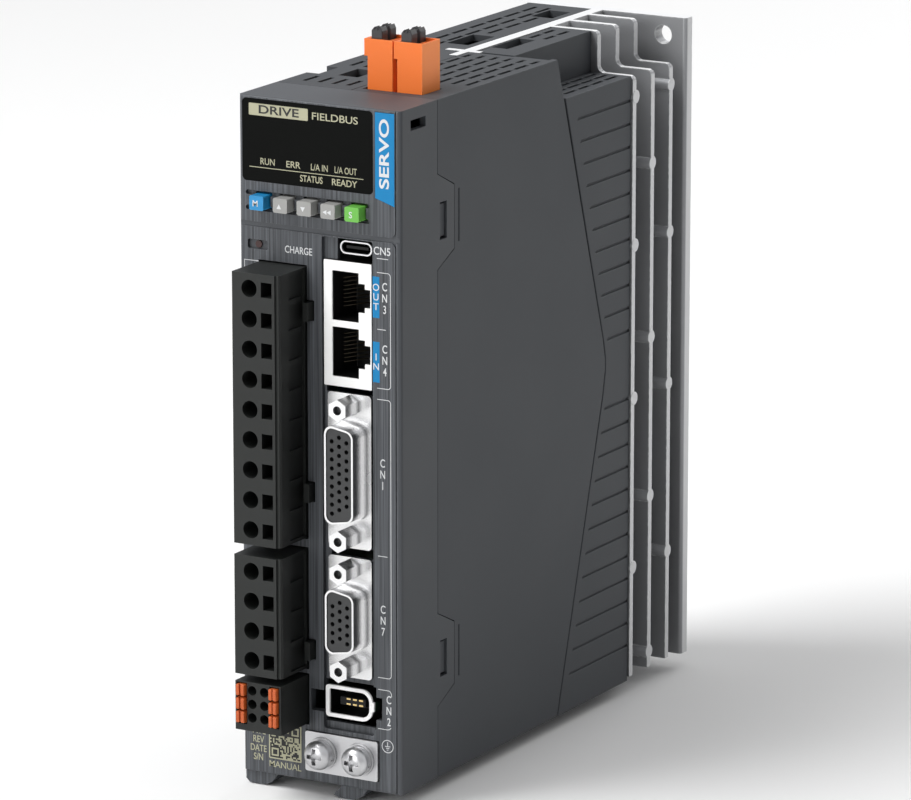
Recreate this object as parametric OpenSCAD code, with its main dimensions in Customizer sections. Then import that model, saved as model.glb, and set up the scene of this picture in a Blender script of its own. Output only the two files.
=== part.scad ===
// Servo drive for cabinet mounting: finned heat sink, plastic covers, boards and plug connectors.
// Origin: centre of the back mounting face. The front faces -Y, up is +Z. Millimetres.

/* [Housing] */
// Width across the two side covers
body_w = 46; // [44:0.5:60]
// Height of the plastic housing
body_h = 172.8; // [170:0.2:200]
// Depth from the front panel to the back mounting face
body_d = 150; // [148:0.5:170]
// Thickness of the plastic walls
wall = 1.7; // [1.2:0.1:2.2]
// Depth of the front bezel behind the panel face
bezel_d = 18; // [14:0.5:24]
// Corner radius along the front edges of the bezel
front_r = 1.3; // [0.5:0.1:2]

/* [Heat sink] */
// Width of the back plate
plate_w = 48; // [46:0.5:60]
// Thickness of the back plate
plate_t = 4; // [3:0.5:8]
// Thickness of one fin
fin_t = 1.8; // [1:0.1:2.5]
// Distance from one fin to the next
fin_pitch = 10; // [8:0.5:12]
// Diameter of the two mounting holes
mount_hole = 5; // [4.5:0.1:6]
// Width of the screwdriver notch beside each mounting hole
notch_w = 12; // [10:0.5:14]
// Height of the screwdriver notch
notch_h = 10.7; // [9:0.1:14]

/* [Plugs] */
// Pitch of the nine-way and four-way power plugs
power_pitch = 7.62; // [7.62:0.01:7.62]
// Pitch of the small spring-clamp plugs
small_pitch = 3.5; // [3.5:0.1:3.81]
// How far the front plugs stand out of the panel
plug_out = 13; // [10:0.5:16]
// Height of the top plugs above the housing
top_out = 12.5; // [10:0.5:16]

/* [Keys] */
// Distance from one key to the next
key_pitch = 6.8; // [6:0.1:8]
// How far a key stands out of the panel
key_out = 2.9; // [1.5:0.1:4]

/* [Hidden] */

hw = body_w / 2;
hh = body_h / 2;
fy = -body_d;
seam_y = fy + bezel_d;
house_y = seam_y + 0.2;
front_t = 2.4;
in_x = hw - wall;
in_z = hh - wall;
notch_x = hw - notch_w;
notch_z = hh - notch_h;
plastic_back = -32.2;
web_x0 = -4.2;
web_x1 = -0.9;
fin_y = [for (i = [0:2]) plastic_back + 0.2 + i * fin_pitch];
fin_x = hw + 0.4;
hole_x = 17.2;
hole_z = 81.5;
tongue_z = 55.8;
key_x = [for (i = [0:4]) -16.2 + i * key_pitch];
key_z = 60.3;
floor_y = fy + 1.2;
power_z = [for (i = [0:8]) 41.3 - i * power_pitch];
motor_z = [for (i = [0:3]) -30.3 - i * power_pitch];
brake_z = [for (i = [0:2]) -61 - i * small_pitch];
brake_x = [-12.2, -8.7];
pin_x = -11.4;
dsub_x = 8.6;
dsub_z = [-5.1, -42.5];
dsub_len = [24.9, 16.5];
dsub_screw = [33.3, 25];
jack_z = [38.85, 24.75];
ground_x = [0.7, 11.5];
ground_z = -78.4;
plug_front = fy - plug_out;
top_plug_x = [0.2, 8.65];
top_y0 = -128.3;
top_y1 = -119.6;
top_z = hh + top_out;
lever_y = [-126, -121.9];
board_y0 = -131;
black = [0.09, 0.1, 0.1];
grey = [0.32, 0.33, 0.35];
metal = [0.8, 0.81, 0.83];
orange = [0.93, 0.45, 0.15];
green = [0.1, 0.36, 0.2];

// Box given by its six limits.
module box(x0, x1, y0, y1, z0, z1) {
  translate([x0, y0, z0])
    cube([x1 - x0, y1 - y0, z1 - z0]);
}

// Round bar along each axis.
module rod_x(y, z, r, x0, x1) {
  translate([x0, y, z])
    rotate([0, 90, 0])
      cylinder(r = r, h = x1 - x0, $fn = 40);
}

module rod_y(x, z, r, y0, y1) {
  translate([x, y0, z])
    rotate([-90, 0, 0])
      cylinder(r = r, h = y1 - y0, $fn = 40);
}

module rod_z(x, y, r, z0, z1) {
  translate([x, y, z0])
    cylinder(r = r, h = z1 - z0, $fn = 40);
}

// Flat outline given in x and z, drawn out from y0 to y1.
module along_y(y0, y1) {
  translate([0, y1, 0])
    rotate([90, 0, 0])
      linear_extrude(height = y1 - y0)
        children();
}

// Flat outline given in y and z, drawn out from x0 to x1.
module along_x(x0, x1) {
  translate([x0, 0, 0])
    rotate([90, 0, 90])
      linear_extrude(height = x1 - x0)
        children();
}

// Rectangle with round corners.
module round_rect(x0, x1, z0, z1, r) {
  translate([x0 + r, z0])
    square([x1 - x0 - 2 * r, z1 - z0]);
  translate([x0, z0 + r])
    square([x1 - x0, z1 - z0 - 2 * r]);
  for (x = [x0 + r, x1 - r]) {
    for (z = [z0 + r, z1 - r]) {
      translate([x, z])
        circle(r = r, $fn = 32);
    }
  }
}

// Slab facing the front, with round corners.
module slab(x0, x1, y0, y1, z0, z1, r) {
  along_y(y0, y1)
    round_rect(x0, x1, z0, z1, r);
}

// Outline of a D-shaped connector: the long side is on the left.
module d_outline(cx, cz, len, w, r) {
  a = 5;
  top = len / 2;
  low = len / 2 - w * tan(a);
  polygon(concat(
    [for (t = [90:15:180]) [cx - w / 2 + r + r * cos(t), cz + top - r + r * sin(t)]],
    [for (t = [180:15:270]) [cx - w / 2 + r + r * cos(t), cz - top + r + r * sin(t)]],
    [for (t = [275:16:355]) [cx + w / 2 - r + r * cos(t), cz - low + r + r * sin(t)]],
    [for (t = [5:16:85]) [cx + w / 2 - r + r * cos(t), cz + low - r + r * sin(t)]]));
}

// Outline of a side tongue of the bezel, in y and z, seen on the right side.
module tongue(cz, extra) {
  polygon([
    [seam_y - 1, cz - 12 - extra],
    [seam_y, cz - 12 - extra],
    [seam_y + 8.3 + extra, cz - 8 - extra],
    [seam_y + 8.3 + extra, cz + 8 + extra],
    [seam_y, cz + 12 + extra],
    [seam_y - 1, cz + 12 + extra]]);
}

// Front frame and panel: openings for keys, plugs and sockets, and two hook tabs below.
module front_bezel() {
  color(grey)
    difference() {
      union() {
        intersection() {
          translate([0, 0, -hh])
            linear_extrude(height = body_h)
              bezel_plan();
          along_x(-hw, hw)
            bezel_side();
        }
        for (side = [-1, 1]) {
          for (cz = [-tongue_z, tongue_z]) {
            along_x(side > 0 ? in_x : -hw, side > 0 ? hw : -in_x)
              tongue(cz, 0);
          }
        }
        along_y(fy + 1, fy + 7)
          polygon([[-22.8, 0.5 - hh], [-22.8, -hh - 2.4], [-21.7, -hh - 3.4], [-17.1, -hh - 3.4],
            [-15.2, -hh - 2.4], [-13.6, -hh - 0.4], [-13.2, 0.5 - hh]]);
        along_y(fy + 1, fy + 7)
          polygon([[5.8, 0.5 - hh], [3.8, -hh - 1.7], [2.8, -hh - 2.9], [4.2, -hh - 3.4],
            [9.2, -hh - 3.4], [11.2, -hh - 2.2], [13.2, 0.5 - hh]]);
      }
      box(-in_x, in_x, fy + front_t, seam_y + 12, -in_z, in_z);
      slab(-21.9, 15.4, fy - 1, fy + 1.7, 65.1, hh - 0.6, 1.2);
      box(-20.4, 13.9, fy, fy + 3, 66.6, hh - 2.4);
      along_y(fy - 1, fy + 0.6)
        polygon([[15.9, 64.4], [21.5, 62.6], [21.5, hh - 0.6], [15.9, hh - 0.6]]);
      for (z = [key_z - 1.9, key_z + 1.9]) {
        slab(-21, 14.4, fy - 1, fy + 0.9, z - 0.6, z + 0.6, 0.55);
      }
      for (x = key_x) {
        box(x - 2.35, x + 2.35, fy - 1, fy + 3, key_z - 2.15, key_z + 2.15);
      }
      box(-hw - 1, hw + 1, fy - 1, fy + 0.4, 53.7, 55);
      along_y(fy - 1, fy + 0.4) {
        corner(21.6, 55, 1.5, -1, 1);
        corner(21.6, 53.7, 1.5, -1, -1);
      }
      box(21.6, 21.9, fy - 1, fy + 0.35, -hh - 1, hh + 1);
      slab(-20.5, -14.7, fy - 1, fy + 0.8, 48.1, 50.5, 0.5);
      rod_y(-17.6, 49.3, 0.95, fy, fy + 3);
      box(-17.5, -3.5, fy - 1, fy + 3, -23.95, 45.55);
      box(-17.5, -3.5, fy - 1, fy + 3, -57.45, -26.05);
      box(-17.5, -3.5, fy - 1, fy + 3, -71.85, -58.55);
      for (z = [34.3, -11.6, -52.1]) {
        box(-3.6, -1.5, fy - 1, fy + 3, z - 2.6, z + 2.6);
      }
      box(-3, 0.9, fy - 1, fy + 3, -67.8, -62.2);
      slab(0.7, 15.2, fy - 1, floor_y, -72, 53.4, 0.6);
      box(14, 17.6, fy - 1, fy + 3, -67.7, -61.9);
      box(4.6, 15, fy, fy + 3, 47.7, 53.3);
      box(1.3, 14.8, fy, fy + 3, 14.3, 16);
      box(2.5, 14.5, fy, fy + 3, -27.2, -24.6);
      box(0.95, 14.85, fy, fy + 3, 15.9, 47.75);
      for (i = [0, 1]) {
        along_y(fy, fy + 3)
          d_outline(dsub_x, dsub_z[i], dsub_len[i] + 0.3, 8.5, 2.2);
        for (s = [-0.5, 0.5]) {
          rod_y(dsub_x - 0.1, dsub_z[i] + s * dsub_screw[i], 1.6, fy, fy + 3);
        }
      }
      box(0.8, 15.9, fy, fy + 3, -70.2, -59.3);
      box(-4.5, 16.7, fy - 1, fy + 0.5, -83.7, -73.1);
      for (x = ground_x) {
        rod_y(x, ground_z, 3.9, fy, fy + 3);
      }
      for (x = [-hw - 1, in_x - 1]) {
        for (cz = [-tongue_z, tongue_z]) {
          box(x, x + wall + 2, seam_y + 1.3, seam_y + 4.7, cz - 4.7, cz + 4.7);
        }
      }
      box(in_x - 1, hw + 1, -144.9, -137.6, 80.8, 83.4);
    }
}

module bezel_plan() {
  translate([-hw, fy + front_r])
    square([body_w, bezel_d - front_r]);
  translate([-hw + front_r, fy])
    square([body_w - 2 * front_r, front_r + 1]);
  for (x = [-hw + front_r, hw - front_r]) {
    translate([x, fy + front_r])
      circle(r = front_r, $fn = 40);
  }
}

module bezel_side() {
  r = 0.6;
  translate([fy + r, -hh])
    square([bezel_d - r, body_h]);
  translate([fy, -hh + r])
    square([r + 1, body_h - 2 * r]);
  for (z = [-hh + r, hh - r]) {
    translate([fy + r, z])
      circle(r = r, $fn = 32);
  }
}

// What is left of a square corner outside its rounding; sx and sz point into the corner's pad.
module corner(x, z, r, sx, sz) {
  difference() {
    translate([min(x, x + sx * r), min(z, z + sz * r)])
      square([r, r]);
    translate([x + sx * r, z + sz * r])
      circle(r = r, $fn = 32);
  }
}

// Dark window over the display, let into the bezel.
module display_window() {
  color(black)
    slab(-21.8, 15.3, fy, fy + 1.6, 65.2, hh - 0.7, 1.1);
}

// Coloured strip beside the window, with a slanted lower end.
module colour_strip() {
  color([0.12, 0.56, 0.82])
    along_y(fy - 0.05, fy + 0.6)
      polygon([[16, 64.45], [21.4, 62.75], [21.4, hh - 0.7], [16, hh - 0.7]]);
}

// Rows of vent slots through a top wall.
module vent_slots(x0, dx, nx, y0, dy, ny, len, z0) {
  for (i = [0:nx - 1]) {
    for (j = [0:ny - 1]) {
      box(x0 + i * dx - 0.65, x0 + i * dx + 0.65, y0 + j * dy, y0 + j * dy + len, z0 - 3, z0 + 1);
    }
  }
}

// Left wall, top, bottom and rear wall in one moulding.
module main_housing() {
  color(grey)
    difference() {
      union() {
        box(-hw, -in_x, house_y, -plate_t - 0.2, -hh, hh);
        box(-in_x, -1.8, house_y, -plate_t - 0.2, in_z, hh);
        box(-in_x, in_x - 0.1, house_y, plastic_back, -hh, -in_z);
        box(-in_x, web_x0 - 0.3, house_y, -plate_t - 0.2, -hh, -in_z);
        box(-0.7, in_x - 0.1, plastic_back - wall, plastic_back, -hh + 0.5, notch_z - wall - 0.1);
        box(-0.7, notch_x, plastic_back - wall, plastic_back, 60, hh);
        box(-0.7, notch_x, -72.2, plastic_back, in_z, hh);
        box(notch_x - wall, notch_x, -72.2, plastic_back, notch_z - wall, hh);
        box(-in_x, -notch_x + wall, -73.5, -plate_t - 0.2, -notch_z, -notch_z + wall);
        box(-notch_x, -notch_x + wall, -73.5, -plate_t - 0.2, -hh, -notch_z + wall);
        box(-in_x, -notch_x + wall, -73.5 - wall, -73.5, -hh, -notch_z + wall);
      }
      for (cz = [-tongue_z, tongue_z]) {
        along_x(-hw - 1, -in_x + 0.1)
          tongue(cz, 0.2);
      }
      box(-hw - 1, -19.5, -117.4, -107.9, hh - 1.6, hh + 1);
      box(-hw - 1, -notch_x, -73.5, 0, -hh - 1, -notch_z);
      box(web_x0 - 0.2, 0, -73.5, 0, in_z - 1, hh + 1);
      box(web_x0 - 0.2, -1.7, -79.4, -73, in_z - 1, hh + 1);
      box(-8.9, 1.5, -73.5, -71, in_z - 1, hh + 1);
      vent_slots(-18, 4.2, 4, -127, 8.1, 1, 7, hh);
      vent_slots(-18.2, 4, 4, -104, 8.1, 3, 6.7, hh);
      vent_slots(-18.2, 4, 2, -71.4, 9.2, 7, 7.8, hh);
      vent_slots(-10.2, 4, 1, -48.4, 9.2, 3, 7.8, hh);
      box(-14.4, -8.6, -116.8, -107, in_z - 1, hh + 1);
      box(-12.8, -6.4, -65.4, -51.6, in_z - 1, hh + 1);
      box(-12.8, -6.4, -21.4, -11.4, in_z - 1, hh + 1);
      box(0.2, 5, -65, -50.6, in_z - 1, hh + 1);
      vent_slots(2.2, 4.1, 2, -48.4, 7.1, 2, 5.7, hh);
      vent_slots(-18.4, 3.8, 10, -120, 7.6, 6, 5.6, -hh + 2);
    }
  clip_plates(-1);
}

// Side outline of the right cover, in y and z: the rear edge is a chevron with a blunt tip.
module cover_side() {
  polygon([
    [house_y, -hh],
    [-70.4, -hh],
    [-46.8, -6],
    [-45.5, 0],
    [-45.5, 4],
    [-46.7, 9],
    [-71.4, hh],
    [house_y, hh]]);
}

// Right side panel with its top flange around the top plugs.
module right_cover() {
  color(grey)
    difference() {
      union() {
        along_x(in_x, hw)
          cover_side();
        box(-1.6, in_x, house_y, -73.6, in_z, hh);
        box(notch_x + 0.1, in_x, -73.6 - wall, -73, notch_z + 0.1, hh);
      }
      for (cz = [-tongue_z, tongue_z]) {
        along_x(in_x - 1, hw + 1)
          tongue(cz, 0.2);
        box(hw - 0.4, hw + 1, seam_y + 10.45, seam_y + 10.95, cz - 6.7, cz + 6.7);
      }
      box(-0.2, 17, top_y0 - 0.35, top_y1 + 0.35, in_z - 1, hh + 1);
      vent_slots(0.4, 3.9, 6, -112.4, 8.1, 4, 6.7, hh);
      vent_slots(0.4, 3.9, 6, -80, 8.1, 1, 4.2, hh);
    }
  clip_plates(1);
}

// Two clip plates of a side wall, each with a pad that stands in the window of a bezel tongue.
module clip_plates(side) {
  x0 = side > 0 ? in_x - 1.7 : -in_x + 0.2;
  color(grey)
    for (cz = [-tongue_z, tongue_z]) {
      box(x0, x0 + 1.5, seam_y + 1.5, seam_y + 12.5, cz - 4.1, cz + 4.1);
      box(side > 0 ? x0 : -hw + 0.6, side > 0 ? hw - 0.6 : x0 + 1.5, seam_y + 1.5, seam_y + 4.5,
        cz - 4.1, cz + 4.1);
      box(side > 0 ? x0 : -in_x - 0.1, side > 0 ? in_x + 0.1 : x0 + 1.5, seam_y + 10, seam_y + 12.5,
        cz - 4.1, cz + 4.1);
    }
}

// Grooved rear panel with the ledge that makes room for a screwdriver.
module rear_shroud() {
  color(grey)
    difference() {
      union() {
        along_x(in_x, hw)
          polygon([
            [-70, -hh],
            [plastic_back, -hh],
            [plastic_back, notch_z],
            [-67.1, notch_z],
            [-46.3, 9.1],
            [-45.1, 4.1],
            [-45.1, 0],
            [-46.4, -6.1]]);
        box(notch_x + 0.1, in_x, -72.8, plastic_back, notch_z - wall, notch_z);
      }
      for (i = [0:24]) {
        if (i != 11 && i != 12) {
          z = 69.3 - i * 6.075;
          y0 = -42.5 - abs(z - 2) * 0.27;
          box(hw - 0.5, hw + 1, y0, plastic_back + 1, z - 0.35, z + 0.35);
        }
      }
      vent_slots(13.4, 3.1, 3, -69, 7.2, 5, 6, notch_z);
    }
}

// One fin in x and z, stepped and rounded beside the upper mounting hole.
module fin_outline() {
  x1 = notch_x + 1.9;
  z1 = notch_z - 0.1;
  difference() {
    union() {
      translate([web_x1 - 1, -hh + 1.1])
        square([fin_x - web_x1 + 1, z1 + hh - 1.1]);
      translate([web_x1 - 1, 0])
        square([x1 - web_x1 + 1, hh]);
      corner(x1, z1, 2, 1, 1);
    }
    corner(x1, hh, 1.5, -1, -1);
    corner(fin_x, z1, 1.5, -1, -1);
  }
}

// Die-cast heat sink: back plate, central web with a cross-shaped end, three fins, round bosses.
module heat_sink() {
  color(metal)
    difference() {
      union() {
        plate_r = 1;
        translate([0, 0, -hh + 0.4])
          linear_extrude(height = body_h - 0.4)
            round_rect(-plate_w / 2, plate_w / 2, -plate_t, 0, plate_r);
        box(web_x0, web_x1, -73, -plate_t + 0.1, -in_z + 0.2, hh);
        box(web_x0, -1.9, -79.2, -72.9, in_z - 12, hh);
        box(-8.7, 1.3, -73.3, -71.2, -in_z + 0.2, hh);
        box(web_x1 - 0.1, 4.4, -63.6, -57.4, in_z - 6, in_z - 0.5);
        for (i = [0:2]) {
          along_y(fin_y[i], fin_y[i] + fin_t)
            fin_outline();
          for (z = i == 1 ? [51, 4.5, -38.4, -81] : [70, 30.8, -10.1, -55.8]) {
            rod_x(fin_y[i] + (i == 0 ? 1.65 : fin_t / 2), z, 1.75, web_x1 - 1, fin_x + 0.1);
          }
        }
      }
      rod_y(hole_x, hole_z, mount_hole / 2, -plate_t - 1, 1);
      rod_y(-hole_x, -hole_z, mount_hole / 2, -plate_t - 1, 1);
    }
}

// Circuit boards.
module control_board() {
  color(green)
    difference() {
      box(16.6, 18.2, fy + 3.5, -78, -72, 56);
      for (y = [-134, -84]) {
        for (z = [-66, 51]) {
          rod_x(y, z, 1.6, 16, 19);
        }
      }
    }
}

module power_board() {
  color(green)
    difference() {
      box(-12.2, -10.6, board_y0, -8, -72, 78);
      for (y = [-125, -14]) {
        for (z = [-67, 73]) {
          rod_x(y, z, 1.6, -13, -10);
        }
      }
    }
}

module display_board() {
  color(green)
    union() {
      box(-20.6, 14.4, fy + 5.4, fy + 7, 56.5, 83.6);
      box(-20.6, 0, fy + 5.4, fy + 7, 47, 56.6);
    }
}

// Five-digit indicator block behind the window.
module led_display() {
  color([0.2, 0.02, 0.02])
    union() {
      box(-19.8, 13.3, fy + 1.7, fy + 5.4, 71.2, 81.8);
      for (i = [0:9]) {
        box(-18.5 + i * 3.1, -17.3 + i * 3.1, fy + 3.6, fy + 5.4, 68.2, 69.4);
      }
    }
}

module key_switches() {
  color(black)
    for (x = key_x) {
      box(x - 2.2, x + 2.2, fy + 4.2, fy + 5.4, key_z - 2.2, key_z + 2.2);
      rod_y(x, key_z, 0.9, fy + 3.9, fy + 4.3);
    }
}

// Light pipe of the charge lamp and the lamp behind it.
module charge_light() {
  color([0.9, 0.3, 0.25])
    union() {
      rod_y(-17.6, 49.3, 0.9, fy + 0.4, fy + 4.2);
      box(-18.8, -16.4, fy + 4, fy + 5.4, 48.1, 50.5);
    }
}

// One panel key: cap, stem and the collar that keeps it in the bezel.
module key(i, c) {
  color(c)
    union() {
      slab(key_x[i] - 2, key_x[i] + 2, fy - key_out, fy + 2.6, key_z - 1.8, key_z + 1.8, 0.4);
      box(key_x[i] - 2.7, key_x[i] + 2.7, fy + 2.5, fy + 3.1, key_z - 2.5, key_z + 2.5);
    }
}

module key_mode() {
  key(0, [0.12, 0.5, 0.75]);
}

module key_up() {
  key(1, [0.62, 0.62, 0.62]);
}

module key_down() {
  key(2, [0.62, 0.62, 0.62]);
}

module key_shift() {
  key(3, [0.62, 0.62, 0.62]);
}

module key_set() {
  key(4, [0.4, 0.7, 0.3]);
}

// Smoothing capacitors standing on the power board.
module dc_capacitors() {
  color([0.12, 0.16, 0.3])
    for (y = [-114, -91]) {
      for (z = [28, 4.5]) {
        difference() {
          rod_x(y, z, 10.5, -10.6, 13.6);
          translate([10.9, y, z])
            rotate([0, 90, 0])
              rotate_extrude($fn = 40)
                translate([10.9, 0])
                  circle(r = 0.8, $fn = 16);
        }
      }
    }
}

// Six-switch power module clamped to the web of the heat sink.
module power_module() {
  color(black)
    union() {
      box(-9.2, web_x0 - 0.5, -62, -18, -30, 34);
      for (i = [0:11]) {
        box(-10.6, -9.1, -60.5, -59.7, -27 + i * 5, -25.8 + i * 5);
        box(-10.6, -9.1, -20.3, -19.5, -27 + i * 5, -25.8 + i * 5);
      }
    }
}

module bridge_rectifier() {
  color(black)
    union() {
      box(-8.9, web_x0 - 0.5, -52, -26, -66, -44);
      for (i = [0:3]) {
        box(-10.6, -8.8, -49.5 + i * 6.5, -48.3 + i * 6.5, -57, -55.8);
      }
    }
}

module thermal_pads() {
  color([0.8, 0.8, 0.85])
    union() {
      box(web_x0 - 0.5, web_x0, -62, -18, -30, 34);
      box(web_x0 - 0.5, web_x0, -52, -26, -66, -44);
    }
}

module inrush_relay() {
  color([0.85, 0.85, 0.8])
    box(-10.6, 5.2, -125, -109, -38, -10);
}

module transformer() {
  color([0.75, 0.6, 0.2])
    union() {
      box(-10.6, -8.4, -114, -86, 42, 66);
      box(-8.4, 8, -112, -88, 44, 50);
      box(-8.4, 8, -112, -88, 58, 64);
      box(-8.4, 8, -106, -94, 49, 59);
    }
}

module line_choke() {
  color([0.7, 0.4, 0.2])
    translate([-10.6, -92, -30])
      rotate([0, 90, 0])
        rotate_extrude($fn = 48)
          translate([4.5, 0])
            square([7.5, 11]);
}

module control_chips() {
  color(black)
    union() {
      box(15.2, 16.6, -112, -96, -10, 6);
      box(15.2, 16.6, -110, -98, 20, 32);
      box(15.4, 16.6, -108, -100, -34, -22);
      box(15.4, 16.6, -92, -84, -8, 4);
    }
}

// Round spacers between each board and the wall that carries it.
module board_spacers() {
  color(metal)
    union() {
      for (y = [-134, -84]) {
        for (z = [-66, 51]) {
          difference() {
            rod_x(y, z, 2.8, 18.2, in_x);
            rod_x(y, z, 1.35, 18, in_x - 0.6);
          }
        }
      }
      for (y = [-125, -14]) {
        for (z = [-67, 73]) {
          difference() {
            rod_x(y, z, 2.8, -in_x, -12.2);
            rod_x(y, z, 1.35, -in_x + 2, -12);
          }
        }
      }
    }
}

module board_screws() {
  color(metal)
    union() {
      for (y = [-134, -84]) {
        for (z = [-66, 51]) {
          rod_x(y, z, 2.6, 14.8, 16.6);
          rod_x(y, z, 1.3, 16.5, 20.4);
        }
      }
      for (y = [-125, -14]) {
        for (z = [-67, 73]) {
          rod_x(y, z, 2.6, -10.6, -8.8);
          rod_x(y, z, 1.3, -17, -10.5);
        }
      }
    }
}

// Fixed half of a front connector: a shroud open to the front.
module front_header(z0, z1, xs, zs) {
  difference() {
    box(-17.75, -3.25, fy + front_t + 0.05, -136.5, z0 - 1, z1 + 1);
    box(-16.75, -4.25, fy, -138, z0, z1);
    for (x = xs) {
      for (z = zs) {
        rod_y(x, z, 0.65, -139, -136);
      }
    }
  }
}

// Catch beside a plug, standing out through the panel.
module catch(z) {
  box(-3.3, -1.8, fy - 2.4, fy + 5, z - 2.3, z + 2.3);
}

module power_header() {
  color(black)
    union() {
      front_header(-23.25, 44.85, [pin_x], power_z);
      catch(34.3);
      catch(-11.6);
    }
}

module motor_header() {
  color(black)
    union() {
      front_header(-56.75, -26.85, [pin_x], motor_z);
      catch(-52.1);
    }
}

module brake_header() {
  color(black)
    front_header(-71.15, -59.25, brake_x, brake_z);
}

// Fixed half of the two top connectors, under the top flange.
module top_header() {
  color(black)
    difference() {
      box(-1.4, 18.1, -129.9, -118, 69, in_z - 0.05);
      box(-0.2, 17, top_y0 - 0.35, top_y1 + 0.35, 70.5, hh);
      for (x = top_plug_x) {
        for (y = lever_y) {
          rod_z(x + 4, y, 0.55, 68, 71);
        }
      }
    }
}

module header_pins() {
  color([0.85, 0.75, 0.4])
    union() {
      for (z = power_z) {
        rod_y(pin_x, z, 0.6, -144.6, board_y0);
      }
      for (z = motor_z) {
        rod_y(pin_x, z, 0.6, -144.6, board_y0);
      }
      for (x = brake_x) {
        for (z = brake_z) {
          rod_y(x, z, 0.6, -144.6, board_y0);
        }
      }
      for (x = top_plug_x) {
        for (y = lever_y) {
          rod_z(x + 4, y, 0.5, 66.5, 77.5);
        }
      }
    }
}

// Small reversible data socket: steel shell and inner tongue.
module usb_socket() {
  color(metal)
    union() {
      difference() {
        slab(5.5, 14.5, fy + 0.9, fy + 9, 49.45, 52.75, 1.5);
        slab(5.85, 14.15, fy, fy + 8, 49.8, 52.4, 1.2);
      }
      box(6.9, 13.1, fy + 1.6, fy + 8.2, 50.75, 51.45);
      box(13, 16.6, fy + 7, fy + 9, 49.6, 52.6);
    }
}

// Double network jack: the wide part of each port is on the left, the latch side on the right.
module network_jack() {
  color([0.93, 0.93, 0.92])
    difference() {
      union() {
        box(1.1, 14.7, fy + 0.2, -133, 16.05, 47.6);
        box(14.6, 16.6, fy + 5, -133, 16.05, 47.6);
      }
      for (z = jack_z) {
        box(3.5, 11, fy - 1, fy + 12, z - 6.2, z + 6.2);
        box(10.9, 12.75, fy - 1, fy + 12, z - 3.6, z + 3.6);
        box(12.65, 14.3, fy - 1, fy + 12, z - 2.3, z + 2.3);
      }
    }
}

// Flange and D-shaped shell of the two D-sub connectors.
module dsub_shells() {
  color(metal)
    for (i = [0, 1]) {
      difference() {
        union() {
          slab(dsub_x - 6.6, dsub_x + 5.8, fy + 0.4, floor_y, dsub_z[i] - dsub_screw[i] / 2 - 2.95,
            dsub_z[i] + dsub_screw[i] / 2 + 2.95, 1);
          along_y(fy - 5.6, floor_y + 1)
            d_outline(dsub_x, dsub_z[i], dsub_len[i], 8.2, 2.2);
          along_y(fy - 1.2, fy + 0.5)
            d_outline(dsub_x, dsub_z[i], dsub_len[i] + 0.9, 9.2, 2.6);
        }
        along_y(fy - 6, floor_y + 2)
          d_outline(dsub_x, dsub_z[i], dsub_len[i] - 1, 7.2, 1.8);
        for (s = [-0.5, 0.5]) {
          rod_y(dsub_x - 0.1, dsub_z[i] + s * dsub_screw[i], 1.6, fy, fy + 3);
        }
      }
    }
}

// Contact holes of one D-sub in three columns, with the middle column half a pitch higher.
module dsub_holes(cz, n, last) {
  pitch = 2.29;
  for (c = [0:2]) {
    for (k = [(c == 2 ? n - last : 0):n - 1]) {
      z = cz + (k - (n - 1) / 2) * pitch + (c == 1 ? pitch / 4 : -pitch / 4);
      rod_y(dsub_x - 2.1 + c * 2.1, z, 0.58, fy - 6, fy - 2);
    }
  }
}

module dsub_inserts() {
  color(black)
    union() {
      difference() {
        along_y(fy - 5.3, fy + 4)
          d_outline(dsub_x, dsub_z[0], dsub_len[0] - 1.1, 7.1, 1.8);
        dsub_holes(dsub_z[0], 9, 8);
      }
      difference() {
        along_y(fy - 5.3, fy + 4)
          d_outline(dsub_x, dsub_z[1], dsub_len[1] - 1.1, 7.1, 1.8);
        dsub_holes(dsub_z[1], 5, 5);
      }
      for (i = [0, 1]) {
        box(3.6, 16.6, fy + 3.6, fy + 12, dsub_z[i] - dsub_len[i] / 2, dsub_z[i] + dsub_len[i] / 2);
      }
    }
}

// Hexagonal jack screws on both D-sub flanges.
module jack_screws() {
  color(metal)
    for (i = [0, 1]) {
      for (s = [-0.5, 0.5]) {
        z = dsub_z[i] + s * dsub_screw[i];
        difference() {
          union() {
            translate([dsub_x - 0.1, fy - 6, z])
              rotate([-90, 0, 0])
                rotate([0, 0, 30])
                  cylinder(r = 2.75, h = 6.4, $fn = 6);
            rod_y(dsub_x - 0.1, z, 1.45, fy + 0.3, fy + 7);
          }
          rod_y(dsub_x - 0.1, z, 1.15, fy - 7, fy);
        }
      }
    }
}

// Frame of the encoder socket, round at its right end.
module encoder_shell() {
  color([0.9, 0.9, 0.9])
    difference() {
      union() {
        slab(1.65, 12, fy - 0.6, fy + 9, -68.5, -60.3, 0.8);
        slab(8.5, 15, fy - 0.6, fy + 9, -68.5, -60.3, 3);
        box(14.8, 15.5, fy - 0.6, fy + 3, -65.6, -63.2);
      }
      slab(2.7, 12, fy - 2, fy + 7.5, -67.6, -61.2, 0.4);
      slab(9, 14.2, fy - 2, fy + 7.5, -67.6, -61.2, 2.3);
    }
}

module encoder_insert() {
  color(black)
    union() {
      box(5.2, 12.4, fy + 0.6, fy + 7.5, -65.3, -63.3);
      box(15, 16.6, fy + 4, fy + 9, -68, -61);
    }
}

// Earth plate with two tapped bosses.
module ground_plate() {
  color(metal)
    difference() {
      union() {
        slab(-4.35, 16.55, fy - 0.7, fy + 0.5, -83.55, -73.25, 0.6);
        for (x = ground_x) {
          rod_y(x, ground_z, 3.6, fy + 0.4, fy + 8);
        }
      }
      for (x = ground_x) {
        rod_y(x, ground_z, 2, fy - 2, fy + 9);
      }
    }
}

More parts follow.
